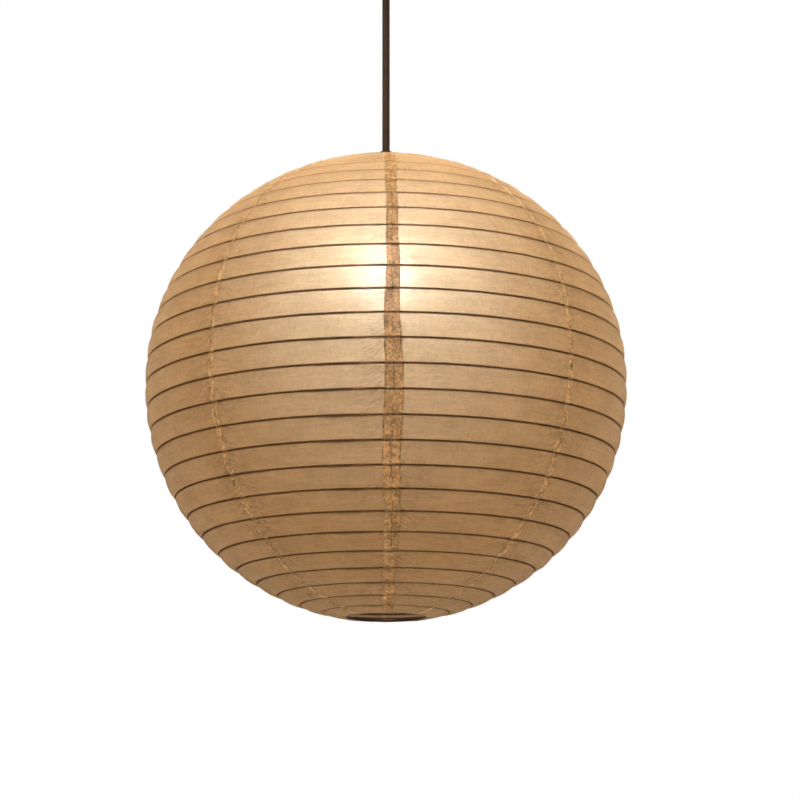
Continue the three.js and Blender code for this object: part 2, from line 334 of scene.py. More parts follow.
def paper_material():
    """Tan mulberry paper that glows when lit from behind. The laps are mottled with paste, creases run out from
    them with some painted crease shade, and a thin line of glue, darkened into a painted shadow of the hoop,
    follows each hoop."""
    material, board = new_material("shade_paper")
    paper = settings("lantern_paper")
    where = board.node("ShaderNodeTexCoord").outputs["Object"]
    sheet = board.node("ShaderNodeUVMap", uv_map="cut").outputs["UV"]
    split = board.node("ShaderNodeSeparateXYZ", {0: sheet})
    across, along = split.outputs[0], split.outputs[1]
    fibre = board.node(
        "ShaderNodeGroup", {"Vector": where, "Sheet": sheet}, node_tree=shared("paper_fibre"))
    lap = board.node("ShaderNodeAttribute", attribute_name="lap").outputs["Fac"]
    band = board.node("ShaderNodeAttribute", attribute_name="band").outputs["Fac"]

    product = board.product

    # even field of the sheet
    cloud = board.span(fibre.outputs["Cloud"], 0.30, 0.70, 0.93, 1.07)
    strand = board.span(fibre.outputs["Fibre"], 0.56, 0.74, 1.0, 0.86)
    fine = board.span(fibre.outputs["Crinkle"], 0.38, 0.62, 0.91, 1.08)

    # creases that run out and down from the laps
    reach = product(board.math("MAXIMUM", product(lap, -1.0), 0.0), 30.0)
    slanted = board.math("SUBTRACT", product(along, 1000.0), product(reach, 0.32))
    lines = board.node(
        "ShaderNodeCombineXYZ",
        {0: product(across, 46.0), 1: product(slanted, 0.21)}).outputs[0]
    ridge = board.off(board.noise(lines, 1.0, 3.0, 0.6, 0.3), 0.5)
    thin = board.span(ridge, 0.0, 0.045, 1.0, 0.0)
    near = board.span(reach, 0.0, 28.0, 1.0, 0.05)
    patch = board.span(board.noise(where, 30.0, 2.0), 0.42, 0.58, 0.15, 1.0)
    crease = product(thin, near, patch)
    # darker along the creases: partly the folded double paper, partly painted crease shade
    crease_shade = board.math("SUBTRACT", 1.0, product(crease, 0.34))

    # a lap: paste mottles it, and the two cut edges and a middle fold show as wandering lines
    in_lap = board.span(lap, -0.004, 0.03, 0.0, 1.0)
    paste = board.noise(where, 420.0, 4.0, 0.68, 0.7)
    blotch = board.noise(where, 150.0, 3.0, 0.6, 0.4)
    mottled = product(
        board.span(paste, 0.40, 0.60, 0.68, 1.16), board.span(blotch, 0.35, 0.62, 0.86, 1.06))
    wander = board.math(
        "ADD", lap, product(board.math("SUBTRACT", board.noise(where, 120.0, 3.0), 0.5), 0.34))
    broken = board.span(board.noise(where, 55.0, 2.0), 0.44, 0.56, 0.98, 0.70)
    middle = board.span(board.off(wander, 0.52), 0.02, 0.07, broken, 1.0)
    rims = board.math(
        "MINIMUM",
        board.span(board.off(lap, 0.03), 0.01, 0.10, 0.80, 1.0),
        board.span(lap, 0.90, 0.98, 1.0, 0.78))
    lapped = product(mottled, middle, rims)

    # glue beside each hoop, darkened well past what glue gives into a painted shadow of the hoop on the backlit
    # paper; the painted shadow is weaker in the laps
    off_hoop = product(board.math("PINGPONG", band, 0.5), 20.1)
    glue_and_shadow_floor = board.span(in_lap, 0.0, 1.0, 0.34, 0.86)
    glue_and_shadow_fade = board.span(off_hoop, 0.50, 0.92, glue_and_shadow_floor, 1.0)

    field = product(cloud, strand, fine, crease_shade)
    out_of_lap = board.math("SUBTRACT", 1.0, in_lap)
    gain = board.math("ADD", product(field, out_of_lap), product(lapped, cloud, in_lap))
    tone = board.mix(in_lap, rgba(paper.tone), rgba(paper.lap_tone))
    grey = board.grey(gain)
    colour = board.mix(1.0, tone, grey, "MULTIPLY")
    # brown tint along each hoop: a glue line deepened into a painted hoop shadow
    glue_and_hoop_shadow = board.mix(glue_and_shadow_fade, (0.36, 0.12, 0.03, 1.0), (1.0, 1.0, 1.0, 1.0))
    colour = board.mix(1.0, colour, glue_and_hoop_shadow, "MULTIPLY")

    height = board.math("ADD", product(fibre.outputs["Crinkle"], 0.8), product(paste, in_lap, 0.8))
    height = board.math("SUBTRACT", height, product(crease, 0.8))
    normal = board.bump(height, 0.4, 0.6 * MM)
    skin = board.node(
        "ShaderNodeBsdfPrincipled",
        {"Base Color": colour, "Roughness": 0.86, "Specular IOR Level": 0.15, "Sheen Weight": 0.1,
         "Sheen Roughness": 0.6, "Normal": normal})
    glow = board.node("ShaderNodeBsdfTranslucent", {"Color": colour, "Normal": normal})
    passed = board.span(in_lap, 0.0, 1.0, 0.62, 0.77)
    # a wide pair of lobes leans the glow forward, and a narrow pair lets the bulb's shape show; the paper's
    # marks tint both, the painted hoop shadow among them
    marks = board.mix(1.0, grey, glue_and_hoop_shadow, "MULTIPLY")
    surface = board.blend(passed, skin.outputs[0], glow.outputs[0])
    for share, bend, tint in (
            (paper.haze, 1.75, (0.575, 0.54, 0.47, 1.0)),
            (paper.see_through, 1.085, (0.66, 0.76, 0.95, 1.0))):
        hue = board.mix(1.0, marks, tint, "MULTIPLY")
        lobes = [
            board.node(
                "ShaderNodeBsdfRefraction",
                {"Color": hue, "Roughness": 1.0, "IOR": ratio, "Normal": normal}).outputs[0]
            for ratio in (bend, 1 / bend)]
        part = board.span(in_lap, 0.0, 1.0, share, 0.5 * math.sqrt(share))
        surface = board.blend(part, surface, board.blend(0.5, *lobes))
    board.finish(surface)
    return material


def worn_material(name, tone, metallic, rough, bump, spread=0.18, coat=0.0):
    """Enamel, plastic or metal with smudges, fine scratches and a light grain."""
    material, board = new_material(name)
    where = board.node("ShaderNodeTexCoord").outputs["Object"]
    wear = board.node("ShaderNodeGroup", {"Vector": where}, node_tree=shared("surface_wear"))
    shade = board.span(wear.outputs["Smudge"], 0.3, 0.7, 1.0 - spread, 1.0 + spread)
    roughness = board.span(wear.outputs["Scratch"], 0.3, 0.7, rough * 0.82, min(rough * 1.2, 1.0))
    height = board.math(
        "ADD", board.product(wear.outputs["Grain"], 0.6), board.product(wear.outputs["Scratch"], 0.4))
    skin = board.node(
        "ShaderNodeBsdfPrincipled",
        {"Base Color": board.shaded(tone, shade), "Roughness": roughness, "Metallic": metallic,
         "Coat Weight": coat, "Coat Roughness": 0.25, "Normal": board.bump(height, bump, 0.1 * MM)})
    board.finish(skin.outputs[0])
    return material


def cord_material():
    """Soft sheath with faint drawn lines along it and handling marks."""
    material, board = new_material("cord_sheath")
    tone = settings("lantern_fittings").cord_tone
    where = board.node("ShaderNodeTexCoord").outputs["Object"]
    wear = board.node("ShaderNodeGroup", {"Vector": where}, node_tree=shared("surface_wear"))
    drawn = board.noise(board.mapped(where, (1.0, 1.0, 0.02)), 1500.0, 2.0, 0.6)
    shade = board.product(
        board.span(drawn, 0.3, 0.7, 0.88, 1.10), board.span(wear.outputs["Smudge"], 0.3, 0.7, 0.90, 1.12))
    roughness = board.span(wear.outputs["Smudge"], 0.3, 0.7, 0.42, 0.60)
    height = board.math("ADD", drawn, board.product(wear.outputs["Grain"], 0.4))
    skin = board.node(
        "ShaderNodeBsdfPrincipled",
        {"Base Color": board.shaded(tone, shade), "Roughness": roughness, "Specular IOR Level": 0.25,
         "Normal": board.bump(height, 0.3, 0.1 * MM)})
    board.finish(skin.outputs[0])
    return material


def globe_material():
    """Frosted globe, lit: brightest round its middle, weaker at the neck and the tip."""
    material, board = new_material("frosted_glass")
    light = settings("lantern_light")
    where = board.node("ShaderNodeTexCoord").outputs["Object"]
    frost = board.noise(where, 900.0, 3.0, 0.6)
    low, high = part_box("bulb_globe")
    height = board.node("ShaderNodeSeparateXYZ", {0: where}).outputs[2]
    width = high.x - low.x
    full = light.bulb_strength
    off_middle = board.off(height, low.z + 0.42 * width)
    strength = board.span(off_middle, 0.3 * width, 0.75 * width, full, 0.15 * full)
    skin = board.node(
        "ShaderNodeBsdfPrincipled",
        {"Base Color": (0.92, 0.89, 0.82, 1.0), "Roughness": 0.4, "Coat Weight": 0.4,
         "Emission Color": rgba(light.bulb_tone), "Emission Strength": strength,
         "Normal": board.bump(frost, 0.15, 0.1 * MM)})
    board.finish(skin.outputs[0])
    return material


def make_materials():
    for plain in list(bpy.data.materials):
        bpy.data.materials.remove(plain)
    fittings, wires = settings("lantern_fittings"), settings("lantern_wires")
    made = {
        "shade_paper": paper_material(),
        "hoop_wire": worn_material("hoop_wire", wires.hoop_tone, 0.25, 0.42, 0.3),
        "sprung_wire": worn_material("sprung_wire", wires.steel_tone, 1.0, 0.30, 0.25),
        "zinc_steel": worn_material("zinc_steel", (0.63, 0.63, 0.60), 1.0, 0.36, 0.3),
        "black_plastic": worn_material("black_plastic", fittings.plastic_tone, 0.0, 0.46, 0.35, coat=0.1),
        "canopy_enamel": worn_material("canopy_enamel", fittings.canopy_tone, 0.0, 0.40, 0.2, coat=0.25),
        "white_ceramic": worn_material("white_ceramic", (0.80, 0.77, 0.70), 0.0, 0.35, 0.2, 0.05, 0.3),
        "contact_brass": worn_material("contact_brass", (0.70, 0.50, 0.22), 1.0, 0.30, 0.25),
        "bulb_aluminium": worn_material("bulb_aluminium", (0.70, 0.70, 0.68), 1.0, 0.33, 0.25),
        "stem_glass": worn_material("stem_glass", (0.82, 0.82, 0.80), 0.0, 0.15, 0.1, 0.05),
        "cord_sheath": cord_material(),
        "frosted_glass": globe_material(),
    }
    return made


# ---- mesh helpers ----
def clear_selection():
    if bpy.context.object and bpy.context.object.mode != "OBJECT":
        bpy.ops.object.mode_set(mode="OBJECT")
    bpy.ops.object.select_all(action="DESELECT")


def make_active(piece):
    clear_selection()
    piece.select_set(True)
    bpy.context.view_layer.objects.active = piece


def settle(piece):
    """Puts the piece's place into its mesh, so that its object sits at the origin."""
    make_active(piece)
    bpy.ops.object.transform_apply(location=True, rotation=True, scale=True)


def placed(name):
    """Names the solid that was just added and settles it."""
    piece = bpy.context.object
    piece.name = piece.data.name = name
    settle(piece)
    return piece


def claim(piece, *nodes, smooth=35):
    """Gives a finished piece the finish, body and place of the CAD nodes it stands for."""
    make_active(piece)
    slot = slot_of(nodes[0])
    piece.data.materials.clear()
    piece.data.materials.append(bpy.data.materials[slot])
    bpy.ops.object.shade_smooth_by_angle(angle=math.radians(smooth))
    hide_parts(*nodes)
    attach(piece, body_holding(nodes[0]))
    clear_selection()
    return piece


def mesh_piece(name, points, faces):
    data = bpy.data.meshes.new(name)
    data.from_pydata(points, [], faces)
    data.update()
    piece = bpy.data.objects.new(name, data)
    bpy.context.scene.collection.objects.link(piece)
    return piece


def tidy_normals(piece, gap=1e-6):
    make_active(piece)
    bpy.ops.object.mode_set(mode="EDIT")
    bpy.ops.mesh.select_all(action="SELECT")
    bpy.ops.mesh.remove_doubles(threshold=gap)
    bpy.ops.mesh.normals_make_consistent(inside=False)
    bpy.ops.object.mode_set(mode="OBJECT")
    return piece


def rounded(profile, radius, closed, steps=3):
    """The profile with each corner replaced by a short arc of about that radius."""
    points = [Vector(stop) for stop in profile]
    result = []
    for i, here in enumerate(points):
        if not closed and i in (0, len(points) - 1):
            result.append(here)
            continue
        to_before = points[i - 1] - here
        to_after = points[(i + 1) % len(points)] - here
        reach = min(radius, 0.45 * to_before.length, 0.45 * to_after.length)
        start = here + to_before.normalized() * reach
        end = here + to_after.normalized() * reach
        for step in range(steps + 1):
            t = step / steps
            result.append(start * (1 - t) ** 2 + here * 2 * t * (1 - t) + end * t ** 2)
    return result


def turned(name, profile, base=0.0, corner=0.3, steps=96):
    """A piece turned about the lantern's axis. The profile is (radius, height) in millimetres, and
    the heights are above base, in metres. One that leaves the axis closes on itself."""
    closed = min(profile[0][0], profile[-1][0]) > 0
    outline = rounded(profile, corner, closed)
    stops = [Vector((max(r, 0.0) * MM, 0.0, base + z * MM)) for r, z in outline]
    if closed:
        stops.append(stops[0].copy())
    clear_selection()
    bpy.ops.mesh.primitive_plane_add(size=MM, location=(0, 0, 0))
    piece = bpy.context.object
    piece.name = piece.data.name = name
    bpy.ops.object.mode_set(mode="EDIT")
    bpy.ops.mesh.select_mode(type="VERT")
    bpy.ops.mesh.select_all(action="SELECT")
    bpy.ops.mesh.merge(type="CENTER")
    bpy.ops.transform.translate(value=stops[0])
    for here, there in zip(stops, stops[1:]):
        bpy.ops.mesh.extrude_region_move(TRANSFORM_OT_translate={"value": there - here})
    bpy.ops.mesh.select_all(action="SELECT")
    bpy.ops.mesh.remove_doubles(threshold=1e-6)
    bpy.ops.mesh.spin(steps=steps, angle=TAU, center=(0, 0, 0), axis=(0, 0, 1))
    bpy.ops.object.mode_set(mode="OBJECT")
    return tidy_normals(piece)


def pick_faces(piece, wanted):
    """Selects in edit mode the faces that the test accepts, by centre and normal."""
    make_active(piece)
    bpy.ops.object.mode_set(mode="EDIT")
    bpy.ops.mesh.select_mode(type="FACE")
    bpy.ops.mesh.select_all(action="DESELECT")
    bpy.ops.object.mode_set(mode="OBJECT")
    for face in piece.data.polygons:
        face.select = wanted(face.center, face.normal)
    bpy.ops.object.mode_set(mode="EDIT")


def ribbed(piece, radius, low, high, count, depth):
    """Presses grip grooves into the outer wall of a turned piece."""
    def groove(centre, normal):
        around = math.atan2(centre.y, centre.x) / TAU * count % 1
        out = math.hypot(centre.x, centre.y)
        upright = abs(normal.z) < 0.2 and normal.x * centre.x + normal.y * centre.y > 0
        return upright and out > radius and low < centre.z < high and around < 0.5
    pick_faces(piece, groove)
    bpy.ops.mesh.inset(thickness=0.12 * MM, depth=-depth, use_individual=False)
    bpy.ops.object.mode_set(mode="OBJECT")
    return piece


def bent_wire(name, route, radius, sides=12, smooth_route=True, thickness=None):
    """A round wire bent along a route, in metres. Thickness scales its radius at each stop."""
    curve = bpy.data.curves.new(name, "CURVE")
    curve.dimensions = "3D"
    curve.bevel_depth = radius
    curve.bevel_resolution = (sides - 4) // 2
    curve.use_fill_caps = True
    if smooth_route:
        curve.resolution_u = 8
        spline = curve.splines.new("BEZIER")
        spline.bezier_points.add(len(route) - 1)
        for stop, place in zip(spline.bezier_points, route):
            stop.co = place
            stop.handle_left_type = stop.handle_right_type = "AUTO"
    else:
        spline = curve.splines.new("POLY")
        spline.points.add(len(route) - 1)
        for i, (stop, place) in enumerate(zip(spline.points, route)):
            stop.co = (*place, 1.0)
            stop.radius = thickness[i] if thickness else 1.0
    piece = bpy.data.objects.new(name, curve)
    bpy.context.scene.collection.objects.link(piece)
    make_active(piece)
    bpy.ops.object.convert(target="MESH")
    piece = bpy.context.object
    piece.name = piece.data.name = name
    return tidy_normals(piece)


def wire_ring(name, radius, wire, z, around, section):
    """A closed ring of round wire, lying flat at a height."""
    clear_selection()
    bpy.ops.mesh.primitive_torus_add(
        major_segments=around, minor_segments=section, major_radius=radius, minor_radius=wire,
        location=(0, 0, z))
    return placed(name)


def joined(name, *pieces):
    clear_selection()
    for piece in pieces:
        piece.select_set(True)
    bpy.context.view_layer.objects.active = pieces[0]
    bpy.ops.object.join()
    pieces[0].name = pieces[0].data.name = name
    return pieces[0]


def cut_out(piece, *tools):
    """Cuts each tool's shape out of the piece, and removes the tools."""
    for tool in tools:
        make_active(piece)
        cutter = piece.modifiers.new("cut", "BOOLEAN")
        cutter.operation = "DIFFERENCE"
        cutter.solver = "EXACT"
        cutter.object = tool
        bpy.ops.object.modifier_apply(modifier=cutter.name)
        bpy.data.objects.remove(tool)
    return piece


def softened(piece, width, angle=40, segments=2):
    make_active(piece)
    edge = piece.modifiers.new("edge", "BEVEL")
    edge.width = width
    edge.segments = segments
    edge.limit_method = "ANGLE"
    edge.angle_limit = math.radians(angle)
    bpy.ops.object.modifier_apply(modifier=edge.name)
    return piece


def block(name, low, high):
    """A block between two corners, in metres."""
    low, high = Vector(low), Vector(high)
    clear_selection()
    bpy.ops.mesh.primitive_cube_add(size=1, location=(low + high) / 2, scale=high - low)
    return placed(name)


def rod(name, radius, low, high, x=0.0, y=0.0, sides=48):
    clear_selection()
    bpy.ops.mesh.primitive_cylinder_add(
        vertices=sides, radius=radius, depth=high - low, location=(x, y, (low + high) / 2))
    return placed(name)


# ---- shade ----
def band_height(stations, along):
    """Radius, height and outward way of the paper at a place along the stations."""
    row = min(int(along), len(stations) - 2)
    share = along - row
    picks = [stations[max(row - 1, 0)], stations[row], stations[row + 1],
             stations[min(row + 2, len(stations) - 1)]]
    a, b, c, d = picks
    t = share
    place = 0.5 * ((2 * b) + (c - a) * t + (2 * a - 5 * b + 4 * c - d) * t * t
                   + (3 * b - a - 3 * c + d) * t ** 3)
    way = (0.5 * ((c - a) + 2 * (2 * a - 5 * b + 4 * c - d) * t
                  + 3 * (3 * b - a - 3 * c + d) * t * t)).normalized()
    return place, Vector((-way.y, way.x)), share


def seam_edge(index, along):
    """How far a seam wanders sideways at a height, in metres."""
    return (noise.noise(Vector((index * 7.3, along * 0.35, 0.0))) * 1.8
            + noise.noise(Vector((index * 3.1, along * 1.7, 5.0))) * 0.6) * MM


def lap_width(along, bands, seam=0):
    """Width of a lap at a height, in metres: widest just below the middle. The closing seam, number
    0, is the widest, and the others are narrow."""
    share = 1.0 if seam == 0 else 0.42
    return (9.0 + 6.5 * math.exp(-((along / bands - 0.62) / 0.2) ** 2)) * share * MM


def crease_height(angle, along, distance, index):
    """Small diagonal creases that run out from a seam and die away across the gore."""
    fade = math.exp(-distance / (26 * MM)) * 0.9 + 0.22
    slant = along * 1.35 - distance * 22.0
    fold = noise.noise(Vector((angle * 5.0 + index, slant, index * 2.7)))
    ripple = noise.noise(Vector((angle * 23.0, along * 3.1 - distance * 50.0, index * 1.9)))
    broad = noise.noise(Vector((angle * 4.0, along * 0.8, 9.0 + index)))
    return fade * (0.75 * fold + 0.45 * ripple) + 0.5 * broad


def gore_sheet(index, stations):
    """One gore: a single sheet, pasted over its neighbour along its left-hand seam."""
    paper = settings("lantern_paper")
    count = len(GORES)
    sector = TAU / count
    first = -TAU / 4 + sector * index
    bands = len(stations) - 1
    rows = bands * paper.rows_per_band
    lap_columns = 5
    columns = paper.columns + 2 * lap_columns
    fade_out = 30 * MM
    lap_lift, under_lap = 0.22 * MM, -0.03 * MM
    points, laps, heights, cuts = [], [], [], []
    run = 0.0
    before = None
    for row in range(rows + 1):
        along = row / paper.rows_per_band
        place, out, share = band_height(stations, along)
        run += (place - before).length if before else 0.0
        before = place
        slim = min(1.0, place.x / (60 * MM))
        left_reach, right_reach = (
            lap_width(along, bands, seam) / 2 * (0.6 + 0.4 * slim) / place.x
            for seam in (index, (index + 1) % count))
        bow = paper.bulge * (1 - (2 * share - 1) ** 2) * slim
        pinned = math.sin(math.pi * share) ** 0.5 if 0 < share < 1 else 0.0
        left = first + seam_edge(index, along) / place.x
        right = first + sector + seam_edge((index + 1) % count, along) / place.x
        for column in range(columns + 1):
            inner = lap_columns <= column <= columns - lap_columns
            if column < lap_columns:
                part = column / lap_columns
                angle = left - left_reach + 2 * left_reach * part
                lap = 1 - part
            elif column > columns - lap_columns:
                part = (column - columns + lap_columns) / lap_columns
                angle = right - right_reach + 2 * right_reach * part
                lap = part
            else:
                part = (column - lap_columns) / (columns - 2 * lap_columns)
                angle = left + left_reach + (right - left - left_reach - right_reach) * part
                room = (right - left - left_reach - right_reach) * place.x
                lap = -min(1.0, min(part, 1 - part) * room / fade_out)
            distance = 0.0 if not inner else -lap * fade_out
            crease = crease_height(angle, along, distance, index)
            lift = bow + paper.wrinkle * crease * pinned * slim
            if not inner:
                lift += lap_lift if column < lap_columns else under_lap
            r = place.x + out.x * lift
            points.append((r * math.cos(angle), r * math.sin(angle), place.y + out.y * lift))
            laps.append(lap)
            heights.append(along)
            cuts.append(((angle - first) * 0.19 + index * 0.37, run))
    across = columns + 1
    faces = [
        (row * across + column, (row + 1) * across + column, (row + 1) * across + column + 1,
         row * across + column + 1)
        for row in range(rows) for column in range(columns)]
    piece = mesh_piece(f"gore_sheet_{index + 1}", points, faces)
    for label, values in (("lap", laps), ("band", heights)):
        piece.data.attributes.new(label, "FLOAT", "POINT").data.foreach_set("value", values)
    layer = piece.data.uv_layers.new(name="cut")
    for loop in piece.data.loops:
        layer.data[loop.index].uv = cuts[loop.vertex_index]
    return piece


class LANTERN_OT_paper(bpy.types.Operator):
    """Models the eight pasted gores of the paper shade"""
    bl_idname = "lantern.paper"
    bl_label = "Paper gores"

    def execute(self, context):
        stations = paper_stations()
        for index, node in enumerate(GORES):
            piece = claim(gore_sheet(index, stations), node, smooth=180)
            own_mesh(piece)
        return {"FINISHED"}


def hoop_route(line, wire, lap_from, lap_angle, steps=150):
    """Once round and a little more: the first end is filed thin and lies inside the last one."""
    turn = TAU + lap_angle
    ease = 1.6 * lap_angle / turn
    thinnest, inward, down = 0.35, 2.05 * wire, 0.25 * wire
    route, thickness = [], []
    for step in range(steps + 1):
        share = step / steps
        sink = max(0.0, 1 - share / ease)
        angle = lap_from + turn * share
        radius = line.x - inward * min(1.0, 1.6 * sink)
        route.append((radius * math.cos(angle), radius * math.sin(angle), line.y - down * sink))
        thickness.append(1 - (1 - thinnest) * sink)
    return route, thickness


class LANTERN_OT_hoops(bpy.types.Operator):
    """Models the wire hoops inside the paper"""
    bl_idname = "lantern.hoops"
    bl_label = "Wire hoops"

    def execute(self, context):
        wires = context.scene.lantern_wires
        for number, node in enumerate(HOOPS):
            line = ring_line(node, wires.hoop_wire)
            stagger = 0.022 * math.sin(number * 2.4)
            lap_from = math.radians(-108.4) + stagger
            wire = 0.88 * wires.hoop_wire
            route, thickness = hoop_route(line, wire, lap_from, wires.lap_angle)
            piece = bent_wire(f"hoop_wire_{number + 1:02d}", route, wire, 10, False, thickness)
            claim(piece, node, smooth=60)
        return {"FINISHED"}


class LANTERN_OT_rings(bpy.types.Operator):
    """Models the top and bottom rings"""
    bl_idname = "lantern.rings"
    bl_label = "End rings"

    def execute(self, context):
        wire = context.scene.lantern_wires.ring_wire
        for node in ("top_ring", "bottom_ring"):
            line = ring_line(node, wire)
            piece = wire_ring(f"{node}_wire", line.x, wire, line.y, 128, 14)
            weld_route = [(line.x * math.cos(a), line.x * math.sin(a), line.y) for a in (1.52, 1.57, 1.62)]
            weld = bent_wire(f"{node}_weld", weld_route, wire * 1.22, 10)
            claim(joined(piece.name, piece, weld), node, smooth=60)
        return {"FINISHED"}


class LANTERN_OT_expander(bpy.types.Operator):
    """Models the sprung wire expander that holds the shade open"""
    bl_idname = "lantern.expander"
    bl_label = "Wire expander"

    def execute(self, context):
        wires = context.scene.lantern_wires
        wire, leg = wires.frame_wire, wires.leg_wire
        low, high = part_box("expander_frame")
        bridge_z = high.z - wire
        clamp_z = low.z + wire
        half = 6 * MM
        corner = 2 * MM
        pin_x, pin_z = 29.5 * MM, shade_top() - 11 * MM
        end_x = high.x - wire
        clamp_r = 19.2 * MM
        inner = math.sqrt(clamp_r ** 2 - half ** 2)
        pieces = [wire_ring("clamp", clamp_r, wire, clamp_z, 96, 14)]
        for side in (1, -1):
            half_route = [
                (inner, clamp_z), (23.5 * MM, clamp_z + 0.8 * MM), (pin_x, pin_z),
                (32 * MM, bridge_z - MM), (end_x - corner, bridge_z)]
            route = [(side * x, half, z) for x, z in half_route]
            route += [(side * end_x, half - corner, bridge_z), (side * end_x, corner - half, bridge_z)]
            route += [(side * x, -half, z) for x, z in reversed(half_route)]
            pieces.append(bent_wire("bridge", route, wire, 12))
            pin = [(side * pin_x, y, pin_z) for y in (-half, 0, half)]
            pieces.append(bent_wire("pin", pin, wire, 12))
            for y in (-half, half):
                bead = [(side * (inner - 0.4 * MM), y - 0.5 * MM, clamp_z), (side * inner, y, clamp_z),
                        (side * (inner + 1.2 * MM), y, clamp_z + 0.1 * MM)]
                pieces.append(bent_wire("bead", bead, wire * 1.25, 10))
        claim(joined("expander_wires", *pieces), "expander_frame", smooth=50)

        eye_r = wire + 0.4 * MM + leg
        for side, node in ((1, "expander_leg_right"), (-1, "expander_leg_left")):
            low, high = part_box(node)
            foot_z = low.z + leg
            foot_x = max(abs(low.x), abs(high.x))
            leg_x = 30.3 * MM
            bend = 3 * MM
            route = [
                (pin_x, pin_z - eye_r), (pin_x + 0.4 * MM, pin_z - 14 * MM), (leg_x, pin_z - 32 * MM),
                (leg_x, pin_z - 80 * MM), (leg_x, (pin_z + foot_z) / 2), (leg_x, foot_z + 30 * MM),
                (leg_x, foot_z + bend), (leg_x + 1.2 * MM, foot_z + 0.8 * MM), (foot_x, foot_z)]
            upright = bent_wire("upright", [(side * x, 0, z) for x, z in route], leg, 12)
            turns = [
                (side * (pin_x + eye_r * math.cos(a)), 0.35 * MM * math.sin(a / 2),
                 pin_z + eye_r * math.sin(a))
                for a in (-TAU / 4 + TAU * step / 40 for step in range(41))]
            eye = bent_wire("eye", turns, leg, 12, smooth_route=False)
            claim(joined(f"{node}_wire", upright, eye), node, smooth=50)
        return {"FINISHED"}


class LANTERN_OT_lampholder(bpy.types.Operator):
    """Models the lampholder with its bushing, cap, body and shade ring"""
    bl_idname = "lantern.lampholder"
    bl_label = "Lampholder"

    def execute(self, context):
        top = shade_top()
        bushing = turned("bushing", [
            (3.6, -10), (5.8, -10), (5.8, 5), (8, 5), (8, 10.8), (6.4, 12), (4.6, 13.2), (3.6, 13.2)],
            top, 0.5)
        claim(bushing, "cord_bushing")

        cap = turned("holder_cap", [
            (6.1, 4.7), (11, 4.7), (17, 1.5), (20.3, -4), (20.6, -9.0), (20.1, -9.3), (20.1, -10.1),
            (20.8, -10.4), (21, -14.5), (18.8, -14.5), (18.3, -4.6), (15.6, 0), (10.6, 2.6), (6.1, 2.6)],
            top, 0.5)
        ribbed(cap, 20.3 * MM, top - 14 * MM, top - 10.6 * MM, 48, 0.25 * MM)
        claim(cap, "lampholder_cap")

        thread = []
        for turn in range(9):
            z = -20.6 - 2.2 * turn
            thread += [(17.5, z), (17.5, z - 0.5), (16.9, z - 1.1), (17.5, z - 1.7)]
        body = turned("holder_body", [
            (4, -14.8), (20.4, -14.8), (21, -15.4), (21, -17.4), (20.4, -18), (17.5, -18), *thread,
            (17.5, -57.2), (16.8, -58), (15.2, -58), (14.5, -57.4), (14.5, -23.5), (4, -23.5)], top, 0.25)
        claim(body, "lampholder_body")

        insulator = turned("holder_insulator", [
            (2.5, -23.8), (14.1, -23.8), (14.1, -26.2), (13.2, -26.7), (13.2, -29.5), (8.2, -29.5),
            (7.6, -28.9), (3.2, -28.9), (2.5, -29.5)], top, 0.3)
        claim(insulator, "socket_insulator")
        contact = turned("holder_contact", [
            (0, -29.8), (6.5, -29.8), (6.5, -30.6), (4, -31.2), (3.2, -33.7), (0, -33.7)], top, 0.25, 48)
        claim(contact, "socket_contact")
        waves = [(13.72 + 0.16 * math.cos(TAU * step / 8), -34.8 - 0.45 * step) for step in range(48)]
        shell = turned("holder_shell", [
            (12.6, -34.6), *waves, (13.9, -57), (13.5, -57), *[(r - 0.42, z) for r, z in reversed(waves)],
            (12.6, -35.2)], top, 0.05)
        claim(shell, "socket_shell")

        ring = turned("holder_ring", [
            (18.2, -21), (24, -21), (24.6, -22), (24.6, -29.4), (23.6, -30.5), (18.2, -30.5)], top, 0.5)
        ribbed(ring, 24.3 * MM, top - 29 * MM, top - 22.2 * MM, 32, 0.5 * MM)
        claim(ring, "shade_ring")
        return {"FINISHED"}


